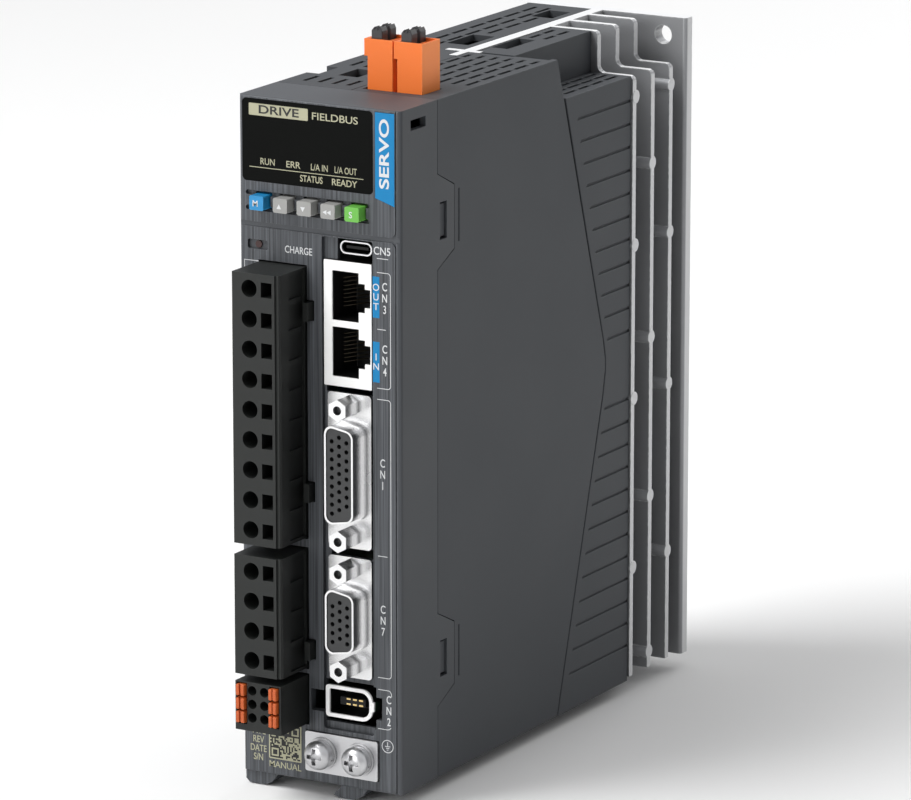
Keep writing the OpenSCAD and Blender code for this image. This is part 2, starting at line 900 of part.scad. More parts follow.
// Flat washer and split spring washer of one earth screw.
module washers(x) {
  color(metal)
    difference() {
      union() {
        rod_y(x, ground_z, 4.1, fy - 1.5, fy - 0.7);
        rod_y(x, ground_z, 3.5, fy - 2.6, fy - 1.4);
      }
      rod_y(x, ground_z, 2.03, fy - 3, fy);
      rotate_about(x, ground_z)
        box(0, 5, fy - 3, fy - 1.55, -0.2, 0.2);
    }
}

module rotate_about(x, z) {
  translate([x, 0, z])
    rotate([0, 20, 0])
      children();
}

module ground_washers_a() {
  washers(ground_x[0]);
}

module ground_washers_b() {
  washers(ground_x[1]);
}

// Pan-head M4 screw with a cross recess.
module ground_screw(x) {
  color(metal)
    difference() {
      union() {
        translate([x, fy - 2.6, ground_z])
          rotate([90, 0, 0])
            rotate_extrude($fn = 48)
              polygon([[0, 0], [3.7, 0], [3.75, 0.5], [3.6, 1.1], [3.2, 1.75], [2.5, 2.3], [1.5, 2.65], [0, 2.75]]);
        rod_y(x, ground_z, 1.95, fy - 2.7, fy + 7);
      }
      box(x - 2.1, x + 2.1, fy - 6, fy - 3.9, ground_z - 0.55, ground_z + 0.55);
      box(x - 0.55, x + 0.55, fy - 6, fy - 3.9, ground_z - 2.1, ground_z + 2.1);
    }
}

module ground_screw_a() {
  ground_screw(ground_x[0]);
}

module ground_screw_b() {
  ground_screw(ground_x[1]);
}

// Pluggable power connector with round wire holes and square release holes.
module big_plug(zs, z0, z1) {
  color(black)
    difference() {
      union() {
        along_z(z0, z1)
          polygon([
            [-17.1, plug_front],
            [-5, plug_front],
            [-4.9, plug_front + 0.6],
            [-4.2, plug_front + 0.6],
            [-3.9, plug_front + 1.3],
            [-3.9, fy + 1.2],
            [-4.6, fy + 1.2],
            [-4.6, fy + 1.6],
            [-17.1, fy + 1.6]]);
        box(-16.4, -4.6, fy + 1.5, -138.4, z0 + 0.7, z1 - 0.7);
      }
      for (z = zs) {
        rod_y(-12.2, z, 2.2, plug_front - 1, plug_front + 9);
        box(-8.85, -5.75, plug_front - 1, plug_front + 6, z - 1.9, z + 1.9);
        rod_y(pin_x, z, 1, -145.3, -138);
        box(-4.6, -3, plug_front + 5, plug_front + 11, z - power_pitch / 2 + 0.7, z + power_pitch / 2 - 0.7);
      }
      box(-4.6, -3, plug_front + 10.9, fy - 0.6, z0 + 0.7, z1 - 0.7);
    }
}

// Flat outline given in x and y, drawn out from z0 to z1.
module along_z(z0, z1) {
  translate([0, 0, z0])
    linear_extrude(height = z1 - z0)
      children();
}

module power_plug() {
  big_plug(power_z, -23.55, 45.15);
}

module motor_plug() {
  big_plug(motor_z, -57.05, -26.4);
}

// Two-row spring-clamp plug: wire holes in the middle, levers on both sides.
module brake_plug() {
  color(black)
    difference() {
      union() {
        box(-17.1, -3.9, plug_front, fy + 1.6, -71.5, -58.9);
        box(-16.4, -4.6, fy + 1.5, -138.4, -70.8, -59.6);
      }
      for (x = brake_x) {
        for (z = brake_z) {
          rod_y(x, z, 1.25, plug_front - 1, plug_front + 8);
          rod_y(x, z, 1, -145.3, -138);
        }
      }
      box(-16.7, -13.7, plug_front - 1, fy - 1.6, -69.85, -59.2);
      box(-7.2, -4.4, plug_front - 1, fy - 1.6, -69.85, -59.2);
    }
}

// One orange lever of the brake plug, with two grip ridges.
module brake_lever(side, row) {
  x0 = side < 0 ? -16.4 : -6.9;
  x1 = side < 0 ? -14 : -4.7;
  z = brake_z[row];
  color(orange)
    union() {
      box(x0, x1, plug_front - 0.4, fy - 3, z - 1.45, z + 1.45);
      box(x0, x0 + 0.95, plug_front - 1.1, plug_front, z - 1.45, z + 1.45);
      box(x1 - 0.95, x1, plug_front - 1.1, plug_front, z - 1.45, z + 1.45);
    }
}

module brake_lever_1() {
  brake_lever(-1, 0);
}

module brake_lever_2() {
  brake_lever(-1, 1);
}

module brake_lever_3() {
  brake_lever(-1, 2);
}

module brake_lever_4() {
  brake_lever(1, 0);
}

module brake_lever_5() {
  brake_lever(1, 1);
}

module brake_lever_6() {
  brake_lever(1, 2);
}

// Two-way top plug: levers on the left half, wire funnels on the right half.
module top_plug(i) {
  x = top_plug_x[i];
  color(orange)
    difference() {
      union() {
        box(x + 0.9, x + 7.95, top_y0, top_y1, 72, top_z);
        box(x - 0.05, x + 1, top_y0, top_y1, top_z - 4.3, top_z);
      }
      box(x + 1.2, x + 4.8, lever_y[0] - 1.7, lever_y[1] + 1.7, top_z - 8.5, top_z + 1);
      for (y = lever_y) {
        rod_z(x + 6.3, y, 1.2, top_z - 8, top_z + 1);
        rod_z(x + 4, y, 0.9, 71, 79);
      }
      box(x + 4.7, x + 7.6, lever_y[0] - 1.7, lever_y[1] + 1.7, top_z - 0.7, top_z + 1);
    }
}

module top_plug_a() {
  top_plug(0);
}

module top_plug_b() {
  top_plug(1);
}

// One dark lever of a top plug, with grip ridges.
module top_lever(i, k) {
  x = top_plug_x[i];
  y = lever_y[k];
  color([0.2, 0.2, 0.22])
    union() {
      box(x + 1.5, x + 4.5, y - 1.4, y + 1.4, top_z - 6.5, top_z + 1);
      along_y(y - 1.4, y + 1.4)
        polygon([
          [x + 1.5, top_z + 0.9],
          [x + 1.5, top_z + 2.1],
          [x + 2.2, top_z + 2.9],
          [x + 2.4, top_z + 2.2],
          [x + 3.1, top_z + 2.9],
          [x + 3.3, top_z + 2.2],
          [x + 4, top_z + 2.9],
          [x + 4.5, top_z + 1.9],
          [x + 4.5, top_z + 0.9]]);
    }
}

module top_lever_a1() {
  top_lever(0, 0);
}

module top_lever_a2() {
  top_lever(0, 1);
}

module top_lever_b1() {
  top_lever(1, 0);
}

module top_lever_b2() {
  top_lever(1, 1);
}

front_bezel();
display_window();
colour_strip();
main_housing();
right_cover();
rear_shroud();
heat_sink();
control_board();
power_board();
display_board();
led_display();
key_switches();
charge_light();
key_mode();
key_up();
key_down();
key_shift();
key_set();
dc_capacitors();
power_module();
bridge_rectifier();
thermal_pads();
inrush_relay();
transformer();
line_choke();
control_chips();
board_spacers();
board_screws();
power_header();
motor_header();
brake_header();
top_header();
header_pins();
usb_socket();
network_jack();
dsub_shells();
dsub_inserts();
jack_screws();
encoder_shell();
encoder_insert();
ground_plate();
ground_washers_a();
ground_washers_b();
ground_screw_a();
ground_screw_b();
power_plug();
motor_plug();
brake_plug();
brake_lever_1();
brake_lever_2();
brake_lever_3();
brake_lever_4();
brake_lever_5();
brake_lever_6();
top_plug_a();
top_plug_b();
top_lever_a1();
top_lever_a2();
top_lever_b1();
top_lever_b2();
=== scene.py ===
import math
import random

import bpy
import bmesh
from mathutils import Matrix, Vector


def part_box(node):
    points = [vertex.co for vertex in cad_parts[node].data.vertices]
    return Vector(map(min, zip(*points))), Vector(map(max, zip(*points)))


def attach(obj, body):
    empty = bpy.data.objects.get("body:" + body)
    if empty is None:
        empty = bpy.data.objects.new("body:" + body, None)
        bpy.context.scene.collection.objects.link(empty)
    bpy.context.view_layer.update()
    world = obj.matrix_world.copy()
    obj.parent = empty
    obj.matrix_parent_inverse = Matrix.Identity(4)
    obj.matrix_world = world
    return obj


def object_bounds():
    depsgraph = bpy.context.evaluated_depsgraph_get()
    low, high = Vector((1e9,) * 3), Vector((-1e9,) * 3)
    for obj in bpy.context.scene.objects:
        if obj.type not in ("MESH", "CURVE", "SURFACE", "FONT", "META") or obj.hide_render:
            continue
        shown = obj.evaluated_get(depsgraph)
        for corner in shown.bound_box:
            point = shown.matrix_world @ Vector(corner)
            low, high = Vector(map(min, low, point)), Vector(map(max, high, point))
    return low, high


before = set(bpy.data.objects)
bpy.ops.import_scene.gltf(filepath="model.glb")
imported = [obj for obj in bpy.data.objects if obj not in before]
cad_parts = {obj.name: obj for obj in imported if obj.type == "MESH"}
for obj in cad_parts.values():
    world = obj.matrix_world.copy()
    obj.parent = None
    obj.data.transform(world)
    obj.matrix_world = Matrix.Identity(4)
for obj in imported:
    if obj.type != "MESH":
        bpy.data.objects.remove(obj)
cad_low, cad_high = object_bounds()

# ---------------------------------------------------------------------------------------------
# The viewpoint: a long lens a metre and a half away, off to the front right and a little above.
# The lens is long because such drives are pictured almost without perspective.
camera_data = bpy.data.cameras.new("Long_lens")
camera_data.lens = 250.35
camera_data.sensor_width = 36.0
camera = bpy.data.objects.new("Long_lens", camera_data)
bpy.context.collection.objects.link(camera)
camera.location = (0.7838, -1.4456, 0.3830)
azimuth, elevation = math.radians(29.91), math.radians(13.77)
looking = Vector((-math.sin(azimuth) * math.cos(elevation), math.cos(azimuth) * math.cos(elevation),
                  -math.sin(elevation)))
camera.rotation_mode = "QUATERNION"
camera.rotation_quaternion = looking.to_track_quat("-Z", "Y")
camera_data.clip_start, camera_data.clip_end = 0.05, 60.0
bpy.context.scene.camera = camera
bpy.context.scene.view_settings.view_transform = "Standard"

# ---------------------------------------------------------------------------------------------
# The heat sink is one pressure die casting in aluminium: back plate, web, three fins and the
# round ejector bosses. Its skin is lightly blasted. The sawn top gets a painted highlight, the
# right-facing faces a painted lighter tone, the rubbed edges wear and a painted highlight, and the
# room between the fins painted shade.


def new_finish(name, colour, roughness, metallic=0.0):
    """A material with one Principled shader: returns it, its node tree and the shader."""
    made = bpy.data.materials.new(name)
    made.use_nodes = True
    tree = made.node_tree
    shader = tree.nodes["Principled BSDF"]
    shader.inputs["Base Color"].default_value = (*colour, 1.0)
    shader.inputs["Roughness"].default_value = roughness
    shader.inputs["Metallic"].default_value = metallic
    return made, tree, shader


def add_node(tree, kind, **settings):
    """A node of that kind; a setting whose name is a socket goes on the socket."""
    node = tree.nodes.new(kind)
    for key, value in settings.items():
        if hasattr(node, key):
            setattr(node, key, value)
        else:
            node.inputs[key.replace("_", " ")].default_value = value
    return node


def new_group(name, inputs, outputs):
    """A shader node group with named sockets: (name, kind, default) in, (name, kind) out."""
    group = bpy.data.node_groups.new(name, "ShaderNodeTree")
    for label, kind, value in inputs:
        made = group.interface.new_socket(name=label, in_out="INPUT", socket_type="NodeSocket" + kind)
        made.default_value = value
    for label, kind in outputs:
        group.interface.new_socket(name=label, in_out="OUTPUT", socket_type="NodeSocket" + kind)
    return group, group.nodes.new("NodeGroupInput"), group.nodes.new("NodeGroupOutput")


def place_group(tree, group, **values):
    """Puts a group into a material and sets its inputs."""
    node = tree.nodes.new("ShaderNodeGroup")
    node.node_tree = group
    for key, value in values.items():
        node.inputs[key.replace("_", " ")].default_value = value
    return node


def edge_wear_and_highlight_group():
    """Worn and highlighted edges: a mask that is 1 along rounded edges and broken up by a patchy noise; it lays wear
    and a painted highlight on the edges.
    """
    group, given, result = new_group("Worn and highlighted edges", [("Width", "Float", 0.0004), ("Patches", "Float", 600.0),
                                                    ("Amount", "Float", 1.0)], [("Mask", "Float")])
    rounded = add_node(group, "ShaderNodeBevel", samples=4)
    true = add_node(group, "ShaderNodeNewGeometry")
    turn = add_node(group, "ShaderNodeVectorMath", operation="DOT_PRODUCT")
    spread = add_node(group, "ShaderNodeMapRange", From_Min=0.995, From_Max=0.86, To_Min=0.0, To_Max=1.0)
    place = add_node(group, "ShaderNodeTexCoord")
    patches = add_node(group, "ShaderNodeTexNoise", Detail=3.0)
    lift = add_node(group, "ShaderNodeMapRange", From_Min=0.35, From_Max=0.65)
    both = add_node(group, "ShaderNodeMath", operation="MULTIPLY")
    scaled = add_node(group, "ShaderNodeMath", operation="MULTIPLY")
    link = group.links.new
    link(given.outputs["Width"], rounded.inputs["Radius"])
    link(rounded.outputs["Normal"], turn.inputs[0])
    link(true.outputs["Normal"], turn.inputs[1])
    link(turn.outputs["Value"], spread.inputs["Value"])
    link(place.outputs["Object"], patches.inputs["Vector"])
    link(given.outputs["Patches"], patches.inputs["Scale"])
    link(patches.outputs["Fac"], lift.inputs["Value"])
    link(spread.outputs["Result"], both.inputs[0])
    link(lift.outputs["Result"], both.inputs[1])
    link(both.outputs["Value"], scaled.inputs[0])
    link(given.outputs["Amount"], scaled.inputs[1])
    link(scaled.outputs["Value"], result.inputs["Mask"])
    return group


def grain_group():
    """Fine surface grain: a colour that drifts a little, a height for bumps, and a roughness."""
    group, given, result = new_group(
        "Surface grain",
        [("Base", "Color", (0.5, 0.5, 0.5, 1.0)), ("Drift", "Float", 0.08), ("Grain size", "Float", 2500.0),
         ("Roughness", "Float", 0.5), ("Spread", "Float", 0.1)],
        [("Color", "Color"), ("Height", "Float"), ("Roughness", "Float")])
    place = add_node(group, "ShaderNodeTexCoord")
    fine = add_node(group, "ShaderNodeTexNoise", Detail=4.0, Roughness=0.6)
    broad = add_node(group, "ShaderNodeTexNoise", Scale=38.0, Detail=3.0)
    low = add_node(group, "ShaderNodeMath", operation="SUBTRACT")
    low.inputs[1].default_value = 0.5
    amount = add_node(group, "ShaderNodeMath", operation="MULTIPLY_ADD")
    amount.inputs[2].default_value = 1.0
    tinted = add_node(group, "ShaderNodeVectorMath", operation="SCALE")
    rough = add_node(group, "ShaderNodeMath", operation="MULTIPLY_ADD")
    link = group.links.new
    link(place.outputs["Object"], fine.inputs["Vector"])
    link(given.outputs["Grain size"], fine.inputs["Scale"])
    link(place.outputs["Object"], broad.inputs["Vector"])
    link(broad.outputs["Fac"], low.inputs[0])
    link(low.outputs["Value"], amount.inputs[0])
    link(given.outputs["Drift"], amount.inputs[1])
    link(given.outputs["Base"], tinted.inputs[0])
    link(amount.outputs["Value"], tinted.inputs["Scale"])
    link(tinted.outputs["Vector"], result.inputs["Color"])
    link(fine.outputs["Fac"], result.inputs["Height"])
    link(low.outputs["Value"], rough.inputs[0])
    link(given.outputs["Spread"], rough.inputs[1])
    link(given.outputs["Roughness"], rough.inputs[2])
    link(rough.outputs["Value"], result.inputs["Roughness"])
    return group


worn_and_highlighted_edges = edge_wear_and_highlight_group()
surface_grain = grain_group()


def grained(name, colour, roughness, metallic=0.0, drift=0.15, size=2500.0, spread=0.15, bump=0.12,
            edge_wear_and_highlight=None, edge_wear_and_highlight_amount=0.5, edge_wear_and_highlight_width=0.0003, specular=None, coat=None):
    """A moulded, cast or plated finish: grain for colour, roughness and bumps, and edges lightened by wear and a
    painted highlight.
    """
    made, tree, shader = new_finish(name, colour, roughness, metallic)
    grain = place_group(tree, surface_grain, Base=(*colour, 1.0), Drift=drift, Grain_size=size,
                        Roughness=roughness, Spread=spread)
    height = add_node(tree, "ShaderNodeBump", Strength=bump, Distance=0.0002)
    tree.links.new(grain.outputs["Height"], height.inputs["Height"])
    tree.links.new(height.outputs["Normal"], shader.inputs["Normal"])
    tree.links.new(grain.outputs["Roughness"], shader.inputs["Roughness"])
    colour_out = grain.outputs["Color"]
    if edge_wear_and_highlight is not None:
        edges = place_group(tree, worn_and_highlighted_edges, Width=edge_wear_and_highlight_width, Patches=700.0, Amount=edge_wear_and_highlight_amount)
        mixed = add_node(tree, "ShaderNodeMix", data_type="RGBA")
        mixed.inputs[7].default_value = (*edge_wear_and_highlight, 1.0)
        tree.links.new(edges.outputs["Mask"], mixed.inputs[0])
        tree.links.new(colour_out, mixed.inputs[6])
        colour_out = mixed.outputs[2]
    tree.links.new(colour_out, shader.inputs["Base Color"])
    if specular is not None:
        shader.inputs["Specular IOR Level"].default_value = specular
    if coat is not None:
        shader.inputs["Coat Weight"].default_value = coat
        shader.inputs["Coat Roughness"].default_value = 0.08
    return made, tree, shader, grain, height


def paint(material, *nodes):
    """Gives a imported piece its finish."""
    for name in nodes:
        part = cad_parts[name]
        if not part.material_slots:
            part.data.materials.append(material)
        for held in part.material_slots:
            held.material = material


def round_edges(width, *nodes):
    """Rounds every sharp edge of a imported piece, as its mould or tumbling does."""
    for name in nodes:
        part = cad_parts[name]
        weld = part.modifiers.new("join", "WELD")
        weld.merge_threshold = 0.000002
        bevel = part.modifiers.new("round", "BEVEL")
        bevel.width = width
        bevel.segments = 2
        bevel.limit_method = "ANGLE"
        bevel.angle_limit = math.radians(40)
        bevel.harden_normals = False
        bevel.use_clamp_overlap = True


def facing_group():
    """Facing: a mask that is 1 where the surface looks along the given object direction."""
    group, given, result = new_group("Facing", [("Direction", "Vector", (0.0, 0.0, 1.0)),
                                                ("Low", "Float", 0.80), ("High", "Float", 0.95)],
                                     [("Mask", "Float")])
    place = add_node(group, "ShaderNodeTexCoord")
    along = add_node(group, "ShaderNodeVectorMath", operation="DOT_PRODUCT")
    mask = add_node(group, "ShaderNodeMapRange")
    link = group.links.new
    link(place.outputs["Normal"], along.inputs[0])
    link(given.outputs["Direction"], along.inputs[1])
    link(along.outputs["Value"], mask.inputs["Value"])
    link(given.outputs["Low"], mask.inputs["From Min"])
    link(given.outputs["High"], mask.inputs["From Max"])
    link(mask.outputs["Result"], result.inputs["Mask"])
    return group


def layered(made, mask, colour, factor=1.0):
    """Lays a colour over the base colour of a finish where the mask is 1."""
    material, tree, shader = made[:3]
    mixed = add_node(tree, "ShaderNodeMix", data_type="RGBA")
    mixed.inputs[7].default_value = (*colour, 1.0)
    strength = add_node(tree, "ShaderNodeMath", operation="MULTIPLY")
    strength.inputs[1].default_value = factor
    tree.links.new(mask, strength.inputs[0])
    tree.links.new(strength.outputs["Value"], mixed.inputs[0])
    under = shader.inputs["Base Color"].links[0].from_socket
    tree.links.new(under, mixed.inputs[6])
    tree.links.new(mixed.outputs[2], shader.inputs["Base Color"])
    return made


def painted_light_faces(made, direction, colour, factor=1.0, low=0.75, high=0.95):
    """Paints light or shade on the faces that look in one direction: a lighter or darker tone for how light falls on
    them.
    """
    mask = place_group(made[1], facing, Direction=direction, Low=low, High=high)
    return layered(made, mask.outputs["Mask"], colour, factor)


UP, RIGHT = (0.0, 0.0, 1.0), (1.0, 0.0, 0.0)
facing = facing_group()
aluminium_made = grained("Die_cast_aluminium", (0.30, 0.305, 0.315), 0.5, 0.5, drift=0.16, size=1800.0,
                         spread=0.2, bump=0.25, edge_wear_and_highlight=(0.84, 0.85, 0.86), edge_wear_and_highlight_amount=0.9, edge_wear_and_highlight_width=0.0006)
# Painted light: the upward faces get a painted highlight over the sawn top, and the right-facing faces a painted
# lighter tone.
painted_light_faces(aluminium_made, UP, (0.92, 0.925, 0.93), low=0.85)
painted_light_faces(aluminium_made, RIGHT, (0.78, 0.785, 0.79), 0.7, low=0.9, high=0.97)
round_edges(0.0003, "heat_sink")


def crevice_shade_group():
    """Crevice shade: a mask that is 1 deep in narrow gaps and slots, where painted shade goes."""
    group, given, result = new_group("Crevice shade", [("Reach", "Float", 0.0008)], [("Mask", "Float")])
    open_sky = add_node(group, "ShaderNodeAmbientOcclusion", samples=6, only_local=False)
    mask = add_node(group, "ShaderNodeMapRange", From_Min=0.62, From_Max=0.2)
    link = group.links.new
    link(given.outputs["Reach"], open_sky.inputs["Distance"])
    link(open_sky.outputs["AO"], mask.inputs["Value"])
    link(mask.outputs["Result"], result.inputs["Mask"])
    return group


def shaded_gaps(made, reach=0.0009, factor=0.8):
    """Paints shade into the narrow gaps of a finish."""
    gaps = place_group(made[1], crevice_shade, Reach=reach)
    return layered(made, gaps.outputs["Mask"], (0.006, 0.006, 0.007), factor)


crevice_shade = crevice_shade_group()
# Painted shade in the room between the fins and in the other gaps of the heat sink.
cast_aluminium = shaded_gaps(aluminium_made, reach=0.008, factor=0.6)[0]
paint(cast_aluminium, "heat_sink")

# ---------------------------------------------------------------------------------------------
# The three covers behind the bezel are a dark grey polycarbonate blend with a spark-eroded skin.
# They are injection moulded and clipped together. Their edges are lighter from slight rubbing and a painted
# highlight, and their narrow gaps carry painted shade.
housing_grey = (0.048, 0.052, 0.058)
cover_plastic = shaded_gaps(grained("Cover_plastic", housing_grey, 0.55, drift=0.06, size=3200.0, spread=0.12,
                                    bump=0.10, edge_wear_and_highlight=(0.125, 0.13, 0.14), edge_wear_and_highlight_amount=0.4, specular=0.3),
                            reach=0.002)[0]
paint(cover_plastic, "main_housing", "right_cover", "rear_shroud")
round_edges(0.00022, "main_housing", "right_cover", "rear_shroud")

# ---------------------------------------------------------------------------------------------
# The front bezel is the same plastic, but its pads and the floor of its recess carry a fine
# vertical pinstripe that is cut into the mould. The narrow band around the pads stays plain.


def stripe_group():
    """Pinstripe: uneven fine lines across X, on faces that look to the front."""
    group, given, result = new_group("Pinstripe", [("Lines per metre", "Float", 1500.0),
                                                   ("Contrast", "Float", 0.5), ("Pad face", "Float", -0.15),
                                                   ("Pad edge", "Float", 0.022)],
                                     [("Shade", "Float"), ("Height", "Float")])
    place = add_node(group, "ShaderNodeTexCoord")
    squeeze = add_node(group, "ShaderNodeVectorMath", operation="MULTIPLY")
    squeeze.inputs[1].default_value = (1.0, 0.0, 0.012)
    lines = add_node(group, "ShaderNodeTexNoise", Detail=2.0, Roughness=0.7)
    parts = add_node(group, "ShaderNodeSeparateXYZ")
    front = add_node(group, "ShaderNodeMapRange", From_Min=-0.8, From_Max=-0.95)
    centred = add_node(group, "ShaderNodeMath", operation="SUBTRACT")
    centred.inputs[1].default_value = 0.5
    kept = add_node(group, "ShaderNodeMath", operation="MULTIPLY")
    shade = add_node(group, "ShaderNodeMath", operation="MULTIPLY_ADD")
    shade.inputs[2].default_value = 1.0
    spot = add_node(group, "ShaderNodeSeparateXYZ")
    depth = add_node(group, "ShaderNodeMath", operation="SUBTRACT")
    raised = add_node(group, "ShaderNodeMath", operation="LESS_THAN")
    raised.inputs[1].default_value = 0.00015
    sunken = add_node(group, "ShaderNodeMath", operation="GREATER_THAN")
    sunken.inputs[1].default_value = 0.0008
    level = add_node(group, "ShaderNodeMath", operation="MAXIMUM")
    inside = add_node(group, "ShaderNodeMath", operation="LESS_THAN")
    on_pad = add_node(group, "ShaderNodeMath", operation="MULTIPLY")
    masked = add_node(group, "ShaderNodeMath", operation="MULTIPLY")
    link = group.links.new
    link(place.outputs["Object"], spot.inputs["Vector"])
    link(spot.outputs["Y"], depth.inputs[0])
    link(given.outputs["Pad face"], depth.inputs[1])
    link(depth.outputs["Value"], raised.inputs[0])
    link(spot.outputs["X"], inside.inputs[0])
    link(given.outputs["Pad edge"], inside.inputs[1])
    link(depth.outputs["Value"], sunken.inputs[0])
    link(raised.outputs["Value"], level.inputs[0])
    link(sunken.outputs["Value"], level.inputs[1])
    link(level.outputs["Value"], on_pad.inputs[0])
    link(inside.outputs["Value"], on_pad.inputs[1])
    link(front.outputs["Result"], masked.inputs[0])
    link(on_pad.outputs["Value"], masked.inputs[1])
    link(place.outputs["Object"], squeeze.inputs[0])
    link(squeeze.outputs["Vector"], lines.inputs["Vector"])
    link(given.outputs["Lines per metre"], lines.inputs["Scale"])
    link(place.outputs["Normal"], parts.inputs["Vector"])
    link(parts.outputs["Y"], front.inputs["Value"])
    link(lines.outputs["Fac"], centred.inputs[0])
    link(centred.outputs["Value"], kept.inputs[0])
    link(masked.outputs["Value"], kept.inputs[1])
    link(kept.outputs["Value"], shade.inputs[0])
    link(given.outputs["Contrast"], shade.inputs[1])
    link(shade.outputs["Value"], result.inputs["Shade"])
    link(kept.outputs["Value"], result.inputs["Height"])
    return group


pinstripe = stripe_group()
# The bezel's edges get wear and a painted highlight, and its narrow gaps get painted shade.
bezel_made = shaded_gaps(grained(
    "Bezel_plastic", (0.068, 0.073, 0.081), 0.5, drift=0.06, size=3200.0, spread=0.12, bump=0.10,
    edge_wear_and_highlight=(0.18, 0.185, 0.195), edge_wear_and_highlight_amount=0.4, specular=0.35), reach=0.0012)
# Painted shade: the right-facing faces of the bezel are painted the darker cover grey.
painted_light_faces(bezel_made, RIGHT, housing_grey)
bezel_plastic, bezel_tree, bezel_shader, _, bezel_bump = bezel_made
stripes = place_group(bezel_tree, pinstripe, Lines_per_metre=1500.0, Contrast=3.2,
                      Pad_face=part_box("front_bezel")[0][1])
striped = add_node(bezel_tree, "ShaderNodeVectorMath", operation="SCALE")
colour_link = bezel_shader.inputs["Base Color"].links[0]
bezel_tree.links.new(colour_link.from_socket, striped.inputs[0])
bezel_tree.links.new(stripes.outputs["Shade"], striped.inputs["Scale"])
bezel_tree.links.new(striped.outputs["Vector"], bezel_shader.inputs["Base Color"])
stripe_bump = add_node(bezel_tree, "ShaderNodeBump", Strength=0.35, Distance=0.0001)
bezel_tree.links.new(stripes.outputs["Height"], stripe_bump.inputs["Height"])
bezel_tree.links.new(bezel_bump.outputs["Normal"], stripe_bump.inputs["Normal"])
bezel_tree.links.new(stripe_bump.outputs["Normal"], bezel_shader.inputs["Normal"])
paint(bezel_plastic, "front_bezel")
round_edges(0.0002, "front_bezel")

# ---------------------------------------------------------------------------------------------
# The display window is a gloss black acrylic sheet glued into the bezel. Its legends are screen
# printed on the front in cream: a plate at the top left, four lamp names and a thin rule.
window_black = grained("Window_acrylic", (0.0030, 0.0034, 0.0030), 0.3, drift=0.05, size=900.0, spread=0.05,
                       bump=0.01, specular=0.05)[0]
paint(window_black, "display_window")
round_edges(0.00015, "display_window")
cream_ink = grained("Cream_print", (0.39, 0.38, 0.26), 0.6, drift=0.1, size=4000.0, bump=0.03)[0]
black_ink = grained("Black_print", (0.012, 0.012, 0.012), 0.6, drift=0.1, size=4000.0, bump=0.03)[0]
panel_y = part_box("display_window")[0][1]
INK = 0.00003


def outline_piece(name, corners, y, thick, material, body="drive"):
    """A thin flat piece facing the front: corners are (x, z) pairs in metres, front face at y."""
    mesh = bpy.data.meshes.new(name)
    shape = bmesh.new()
    face = shape.faces.new([shape.verts.new((x, y + thick, z)) for x, z in corners])
    made = bmesh.ops.extrude_face_region(shape, geom=[face])
    for vert in [v for v in made["geom"] if isinstance(v, bmesh.types.BMVert)]:
        vert.co.y -= thick
    bmesh.ops.recalc_face_normals(shape, faces=shape.faces)
    shape.to_mesh(mesh)
    shape.free()
    mesh.materials.append(material)
    piece = bpy.data.objects.new(name, mesh)
    bpy.context.collection.objects.link(piece)
    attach(piece, body)
    return piece


def round_corners(x0, x1, z0, z1, r, steps=6):
    """Corner points of a rectangle with round corners, in millimetres, given back in metres."""
    points = []
    for cx, cz, start in ((x1 - r, z1 - r, 0), (x0 + r, z1 - r, 90), (x0 + r, z0 + r, 180), (x1 - r, z0 + r, 270)):
        for i in range(steps + 1):
            a = math.radians(start + 90 * i / steps)
            points.append(((cx + r * math.cos(a)) / 1000, (cz + r * math.sin(a)) / 1000))
    return points


def words(name, text, x, z, size, material, body="drive", y=None, turn=0.0, stretch=1.0, bold=0.0,
          align="CENTER", step=None):
    """Printed lettering on the front: centre, cap height and line step in millimetres."""
    curve = bpy.data.curves.new(name, "FONT")
    curve.body = text
    curve.size = size / 1000 / 0.69
    curve.align_x, curve.align_y = align, "CENTER"
    curve.extrude = 0.00001
    curve.offset = bold / 1000
    if step is not None:
        curve.space_line = step / (size / 0.69)
    curve.materials.append(material)
    piece = bpy.data.objects.new(name, curve)
    bpy.context.collection.objects.link(piece)
    piece.location = (x / 1000, (panel_y if y is None else y) - 0.00002, z / 1000)
    piece.rotation_euler = (math.radians(90), math.radians(-turn), 0)
    piece.scale = (stretch, 1.0, 1.0)
    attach(piece, body)
    return piece


outline_piece("window_plate", round_corners(-19.9, -3.0, 81.6, 84.6, 0.25), panel_y - INK, INK, cream_ink)
words("window_plate_words", "DRIVE", -11.4, 83.1, 2.0, black_ink, y=panel_y - 0.00004, stretch=1.5, bold=0.05)
words("window_bus_words", "FIELDBUS", 4.6, 82.9, 1.75, cream_ink, stretch=1.25, bold=0.02)
for label, text, x, stretch in (("run", "RUN", -14.6, 0.9), ("error", "ERR", -7.3, 1.05),
                                ("link_in", "L/A IN", 0.2, 0.79), ("link_out", "L/A OUT", 7.65, 0.72)):
    words("lamp_words_" + label, text, x, 70.2, 1.6, cream_ink, stretch=stretch, bold=0.015)
outline_piece("window_rule", [(x / 1000, z / 1000) for x, z in
                              ((-19.8, 68.6), (12.7, 68.6), (12.7, 68.78), (-19.8, 68.78))],
              panel_y - INK, INK, cream_ink)
for label, text, x, stretch in (("status", "STATUS", -2.1, 0.8), ("ready", "READY", 7.25, 1.0)):
    words("window_words_" + label, text, x, 67.1, 1.6, cream_ink, stretch=stretch, bold=0.03)

# ---------------------------------------------------------------------------------------------
# The blue strip beside the window is a separate insert, snapped in from the front. A plain word
# is printed on it, reading upwards.
strip_blue = grained("Strip_blue", (0.003, 0.19, 0.43), 0.42, drift=0.05, size=3000.0, spread=0.06, bump=0.02,
                     specular=0.25)[0]
paint(strip_blue, "colour_strip")
white_ink = grained("White_print", (0.62, 0.63, 0.64), 0.6, drift=0.05, size=4000.0, bump=0.03)[0]
strip_low, strip_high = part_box("colour_strip")
words("strip_words", "SERVO", 18.7, 75.6, 2.6, white_ink, y=strip_low[1], turn=90.0, stretch=1.55, bold=0.08)
